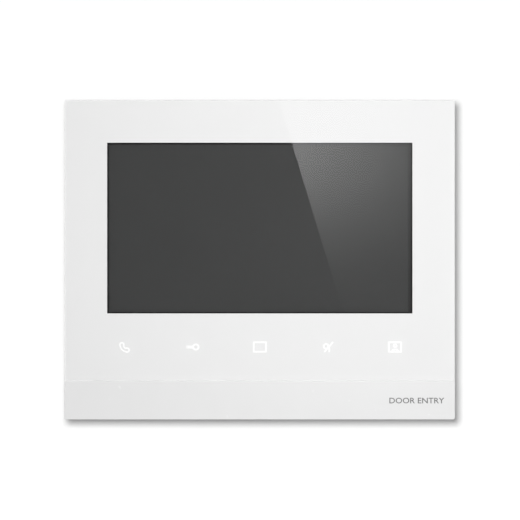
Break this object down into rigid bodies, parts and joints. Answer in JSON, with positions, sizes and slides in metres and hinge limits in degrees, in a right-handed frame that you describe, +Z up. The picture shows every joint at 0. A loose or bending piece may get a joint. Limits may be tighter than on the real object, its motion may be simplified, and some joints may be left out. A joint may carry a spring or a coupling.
{
  "type": "video intercom monitor",
  "caption": "Flat white wall-mounted door intercom with a wide display, a row of backlit touch symbols and a lift-off steel wall bracket.",
  "frame": {"origin": "on the wall plane, at the centre of the wall bracket's box screw pattern, which is also the centre of the front", "axes": "+Z is up, +X is right as seen from the front, and the front faces -Y, so +Y points into the wall"},
  "size_m": [0.198, 0.025, 0.162],
  "materials": {
    "wall_bracket": "galvanised",
    "rear_cover": "fine grain",
    "hook_plate": "moulded",
    "terminal_shroud": "moulded",
    "rear_label": "printed foil, left blank",
    "front_frame": "semi-gloss",
    "front_glass": "polished clear acrylic",
    "lower_trim": "polished",
    "decor_film": "printed white",
    "key_symbols": "translucent white",
    "display_gasket": "foam",
    "lcd_bezel": "plain",
    "lcd_panel": "polarised glass, switched off",
    "backlight_unit": "moulded",
    "lcd_flex": "film",
    "display_clamp": "galvanised",
    "clamp_screws": "zinc plated",
    "main_board": "solder mask",
    "board_screws": "zinc plated",
    "processor_chip": "moulded",
    "shield_can": "tin plated",
    "capacitors": "drawn cans",
    "inductors": "moulded",
    "display_connector": "moulded",
    "touch_connector": "moulded",
    "speaker_connector": "moulded",
    "mic_connector": "moulded",
    "touch_board": "solder mask",
    "touch_board_screws": "zinc plated",
    "icon_light_guide": "milky acrylic",
    "icon_leds": "moulded",
    "touch_ribbon": "film",
    "speaker_basket": "black oxide",
    "speaker_cone": "paper",
    "speaker_magnet": "ferrite",
    "speaker_gasket": "foam",
    "speaker_screws": "zinc plated",
    "speaker_cable": "insulated wires",
    "mic_boot": "moulded",
    "mic_capsule": "drawn can",
    "mic_cable": "insulated wires",
    "housing_screws": "zinc plated",
    "terminal_block_bus": "moulded",
    "terminal_block_doorbell": "moulded",
    "terminal_block_power": "moulded",
    "dip_housing": "moulded",
    "reset_switch": "moulded",
    "reset_plunger": "moulded",
    "pusher_bus_1": "moulded",
    "pusher_bus_2": "moulded",
    "pusher_doorbell_1": "moulded",
    "pusher_doorbell_2": "moulded",
    "pusher_power_1": "moulded",
    "pusher_power_2": "moulded",
    "dip_slider_1": "moulded",
    "dip_slider_2": "moulded",
    "dip_slider_3": "moulded",
    "dip_slider_4": "moulded"
  },
  "bodies": {
    "bracket": {"wall_bracket": "wall_bracket"},
    "monitor": {"rear_cover": "rear_cover", "hook_plate": "hook_plate", "terminal_shroud": "terminal_shroud", "rear_label": "rear_label", "front_frame": "front_frame", "front_glass": "front_glass", "lower_trim": "lower_trim", "decor_film": "decor_film", "key_symbols": "key_symbols", "display_gasket": "display_gasket", "lcd_bezel": "lcd_bezel", "lcd_panel": "lcd_panel", "backlight_unit": "backlight_unit", "lcd_flex": "lcd_flex", "display_clamp": "display_clamp", "clamp_screws": "clamp_screws", "main_board": "main_board", "board_screws": "board_screws", "processor_chip": "processor_chip", "shield_can": "shield_can", "capacitors": "capacitors", "inductors": "inductors", "display_connector": "display_connector", "touch_connector": "touch_connector", "speaker_connector": "speaker_connector", "mic_connector": "mic_connector", "touch_board": "touch_board", "touch_board_screws": "touch_board_screws", "icon_light_guide": "icon_light_guide", "icon_leds": "icon_leds", "touch_ribbon": "touch_ribbon", "speaker_basket": "speaker_basket", "speaker_cone": "speaker_cone", "speaker_magnet": "speaker_magnet", "speaker_gasket": "speaker_gasket", "speaker_screws": "speaker_screws", "speaker_cable": "speaker_cable", "mic_boot": "mic_boot", "mic_capsule": "mic_capsule", "mic_cable": "mic_cable", "housing_screws": "housing_screws", "terminal_block_bus": "terminal_block_bus", "terminal_block_doorbell": "terminal_block_doorbell", "terminal_block_power": "terminal_block_power", "dip_housing": "dip_housing", "reset_switch": "reset_switch"},
    "pusher_bus_1_body": {"pusher_bus_1": "pusher_bus_1"},
    "pusher_bus_2_body": {"pusher_bus_2": "pusher_bus_2"},
    "pusher_doorbell_1_body": {"pusher_doorbell_1": "pusher_doorbell_1"},
    "pusher_doorbell_2_body": {"pusher_doorbell_2": "pusher_doorbell_2"},
    "pusher_power_1_body": {"pusher_power_1": "pusher_power_1"},
    "pusher_power_2_body": {"pusher_power_2": "pusher_power_2"},
    "dip_slider_1_body": {"dip_slider_1": "dip_slider_1"},
    "dip_slider_2_body": {"dip_slider_2": "dip_slider_2"},
    "dip_slider_3_body": {"dip_slider_3": "dip_slider_3"},
    "dip_slider_4_body": {"dip_slider_4": "dip_slider_4"},
    "reset_plunger_body": {"reset_plunger": "reset_plunger"}
  },
  "joints": [
    {"name": "monitor_lift", "type": "slide", "parent": "bracket", "child": "monitor", "axis": [0, 0, 1], "range_m": [0, 0.007]},
    {"name": "pusher_bus_1_press", "type": "slide", "parent": "monitor", "child": "pusher_bus_1_body", "axis": [0, -1, 0], "range_m": [0, 0.0008], "stiffness_N_per_m": 1500},
    {"name": "pusher_bus_2_press", "type": "slide", "parent": "monitor", "child": "pusher_bus_2_body", "axis": [0, -1, 0], "range_m": [0, 0.0008], "stiffness_N_per_m": 1500},
    {"name": "pusher_doorbell_1_press", "type": "slide", "parent": "monitor", "child": "pusher_doorbell_1_body", "axis": [0, -1, 0], "range_m": [0, 0.0008], "stiffness_N_per_m": 1500},
    {"name": "pusher_doorbell_2_press", "type": "slide", "parent": "monitor", "child": "pusher_doorbell_2_body", "axis": [0, -1, 0], "range_m": [0, 0.0008], "stiffness_N_per_m": 1500},
    {"name": "pusher_power_1_press", "type": "slide", "parent": "monitor", "child": "pusher_power_1_body", "axis": [0, -1, 0], "range_m": [0, 0.0008], "stiffness_N_per_m": 1500},
    {"name": "pusher_power_2_press", "type": "slide", "parent": "monitor", "child": "pusher_power_2_body", "axis": [0, -1, 0], "range_m": [0, 0.0008], "stiffness_N_per_m": 1500},
    {"name": "dip_slider_1_slide", "type": "slide", "parent": "monitor", "child": "dip_slider_1_body", "axis": [0, 0, 1], "range_m": [0, 0.0018]},
    {"name": "dip_slider_2_slide", "type": "slide", "parent": "monitor", "child": "dip_slider_2_body", "axis": [0, 0, 1], "range_m": [0, 0.0018]},
    {"name": "dip_slider_3_slide", "type": "slide", "parent": "monitor", "child": "dip_slider_3_body", "axis": [0, 0, 1], "range_m": [0, 0.0018]},
    {"name": "dip_slider_4_slide", "type": "slide", "parent": "monitor", "child": "dip_slider_4_body", "axis": [0, 0, 1], "range_m": [0, 0.0018]},
    {"name": "reset_press", "type": "slide", "parent": "monitor", "child": "reset_plunger_body", "axis": [0, -1, 0], "range_m": [0, 0.0003], "stiffness_N_per_m": 800}
  ]
}
